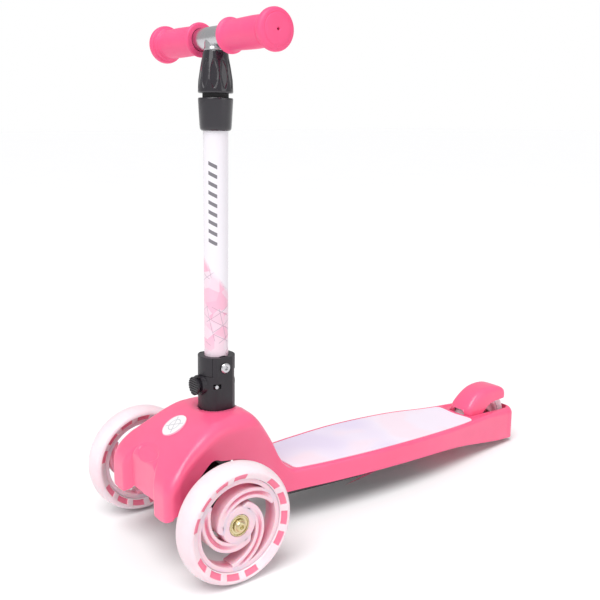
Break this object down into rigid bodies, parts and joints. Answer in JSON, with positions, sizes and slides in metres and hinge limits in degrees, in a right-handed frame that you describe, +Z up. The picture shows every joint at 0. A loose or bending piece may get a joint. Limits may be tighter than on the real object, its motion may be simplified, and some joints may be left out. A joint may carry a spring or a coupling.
{
  "type": "kick scooter",
  "caption": "Child's lean-to-steer kick scooter with large front wheels, a small rear wheel under a brake pedal, a folding stem and a telescopic handlebar.",
  "frame": {"origin": "bottom centre of the bounding box, on the ground, midway between the front of the front wheels and the end of the tail", "axes": "+Z up, the front faces -Y, +X is the rider's left, X = 0 is the plane of symmetry"},
  "size_m": [0.2252, 0.562, 0.5299],
  "materials": {
    "body_pink": "smooth, slightly glossy",
    "grip_pink": "soft satin",
    "tyre_pale": "smooth translucent pale pink",
    "core_pink": "satin",
    "pad_lilac": "matt, faint pastel patches",
    "black_nylon": "satin",
    "white_paint": "gloss white with a pink wash at the foot",
    "bare_steel": "plain",
    "yellow_zinc": "yellow passivated",
    "black_rubber": "matt",
    "badge_white": "printed disc",
    "led_grey": "clear tinted"
  },
  "bodies": {
    "deck": {"body_shell": "body_pink", "deck_pad": "pad_lilac", "base_plate": "black_nylon", "plate_screw_1": "bare_steel", "plate_screw_2": "bare_steel", "plate_screw_3": "bare_steel", "plate_screw_4": "bare_steel", "badge": "badge_white", "truck": "black_nylon", "stem_post": "bare_steel", "kingpin_left": "bare_steel", "kingpin_right": "bare_steel", "rear_axle": "bare_steel", "axle_keeper_left": "black_nylon", "axle_keeper_right": "black_nylon", "hinge_base": "black_nylon", "pivot_bolt": "bare_steel", "pivot_nut": "bare_steel", "brake_pin_left": "bare_steel", "brake_pin_right": "bare_steel"},
    "stem": {"hinge_head": "black_nylon", "outer_tube": "white_paint", "lower_collar": "black_nylon", "collet": "black_rubber"},
    "nut": {"twist_nut": "black_nylon"},
    "bar": {"t_bar": "bare_steel", "grip_left": "grip_pink", "grip_right": "grip_pink"},
    "button": {"lock_button": "black_nylon", "lock_pin": "bare_steel"},
    "knuckle_left": {"knuckle_left": "black_nylon", "wheel_bolt_left": "yellow_zinc", "tie_pin_left": "bare_steel"},
    "knuckle_right": {"knuckle_right": "black_nylon", "wheel_bolt_right": "yellow_zinc", "tie_pin_right": "bare_steel"},
    "wheel_left": {"tyre_left": "tyre_pale", "core_left": "core_pink", "led_left": "led_grey", "bearing_outer_left": "bare_steel", "bearing_inner_left": "bare_steel"},
    "wheel_right": {"tyre_right": "tyre_pale", "core_right": "core_pink", "led_right": "led_grey", "bearing_outer_right": "bare_steel", "bearing_inner_right": "bare_steel"},
    "tie": {"tie_rod": "bare_steel"},
    "rear_wheel": {"tyre_rear": "tyre_pale", "core_rear": "core_pink", "bearing_rear_left": "bare_steel", "bearing_rear_right": "bare_steel"},
    "pedal": {"brake_pedal": "body_pink"}
  },
  "joints": [
    {"name": "stem_fold", "type": "hinge", "parent": "deck", "child": "stem", "pos_m": [0, -0.1777, 0.185], "axis": [-1, 0, 0], "range_deg": [0, 90]},
    {"name": "bar_height", "type": "slide", "parent": "stem", "child": "bar", "axis": [0, 0.0216, 0.9998], "range_m": [0, 0.12]},
    {"name": "nut_twist", "type": "hinge", "parent": "stem", "child": "nut", "pos_m": [0, -0.1777, 0.185], "axis": [0, 0.0216, 0.9998], "range_deg": [0, 180]},
    {"name": "button_push", "type": "slide", "parent": "deck", "child": "button", "axis": [0, 0.9998, -0.0216], "range_m": [0, 0.003], "stiffness_N_per_m": 800},
    {"name": "steer_left", "type": "hinge", "parent": "deck", "child": "knuckle_left", "pos_m": [0.058, -0.221, 0.06], "axis": [0, 0.2588, 0.9659], "range_deg": [-15, 15], "stiffness_Nm_per_rad": 8},
    {"name": "steer_right", "type": "hinge", "parent": "deck", "child": "knuckle_right", "pos_m": [-0.058, -0.221, 0.06], "axis": [0, 0.2588, 0.9659], "range_deg": [-15, 15]},
    {"name": "tie_slide", "type": "slide", "parent": "deck", "child": "tie", "axis": [1, 0, 0], "range_m": [-0.0083, 0.0083]},
    {"name": "wheel_left_spin", "type": "hinge", "parent": "knuckle_left", "child": "wheel_left", "pos_m": [0.0989, -0.221, 0.06], "axis": [1, 0, 0], "continuous": true},
    {"name": "wheel_right_spin", "type": "hinge", "parent": "knuckle_right", "child": "wheel_right", "pos_m": [-0.0989, -0.221, 0.06], "axis": [1, 0, 0], "continuous": true},
    {"name": "rear_wheel_spin", "type": "hinge", "parent": "deck", "child": "rear_wheel", "pos_m": [0, 0.237, 0.038], "axis": [1, 0, 0], "continuous": true},
    {"name": "brake_press", "type": "hinge", "parent": "deck", "child": "pedal", "pos_m": [0, 0.209, 0.0438], "axis": [-1, 0, 0], "range_deg": [0, 3], "stiffness_Nm_per_rad": 3}
  ],
  "couplings": [
    {"joint": "steer_right", "follows": "steer_left", "ratio": 1},
    {"joint": "tie_slide", "follows": "steer_left", "m_per_rad": -0.0313}
  ]
}
